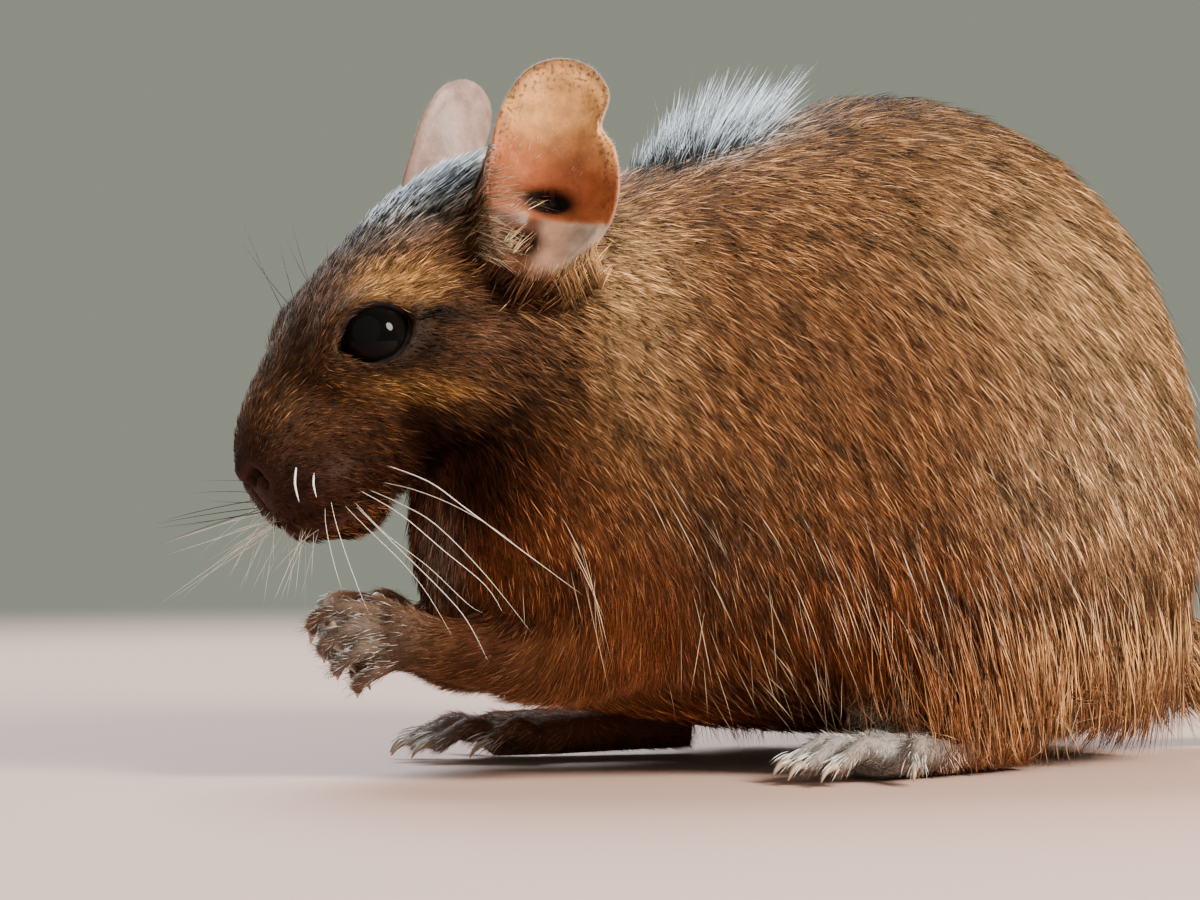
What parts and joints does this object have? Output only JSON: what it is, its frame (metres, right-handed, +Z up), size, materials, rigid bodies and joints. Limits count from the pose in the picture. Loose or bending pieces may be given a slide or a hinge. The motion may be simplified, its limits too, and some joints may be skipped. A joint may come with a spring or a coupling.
{
  "type": "degu",
  "caption": "Life-size model of a degu sitting hunched with its hands held together under its mouth, its large ears up and its brush-tipped tail along the floor.",
  "frame": {"origin": "On the floor under the middle of the bounding box", "axes": "+Z up, -Y the way the degu faces, +X the degu's left side, +Y the longest extent"},
  "size_m": [0.105, 0.1958, 0.0816],
  "materials": {
    "coat": "short golden-brown fur with dark ticking",
    "face_coat": "short dark brown fur",
    "ear_skin": "thin bare skin that light shines through",
    "eye": "wet glossy black",
    "hand_coat": "grey-brown skin with fine pale hair and horn claws",
    "foot_coat": "silver-white hair with pale horn claws",
    "tail_coat": "short dark hair above and pale hair below",
    "tail_brush": "stiff black bristles"
  },
  "bodies": {
    "root": {"head": "face_coat", "neck": "coat", "torso": "coat", "ear_left": "ear_skin", "ear_right": "ear_skin", "eye_left": "eye", "eye_right": "eye", "foreleg_left": "coat", "foreleg_right": "coat", "hand_left": "hand_coat", "hand_right": "hand_coat", "thigh_left": "coat", "thigh_right": "coat", "foot_left": "foot_coat", "foot_right": "foot_coat", "tail_base": "tail_coat", "tail_middle": "tail_coat", "tail_tip": "tail_brush"}
  },
  "joints": []
}
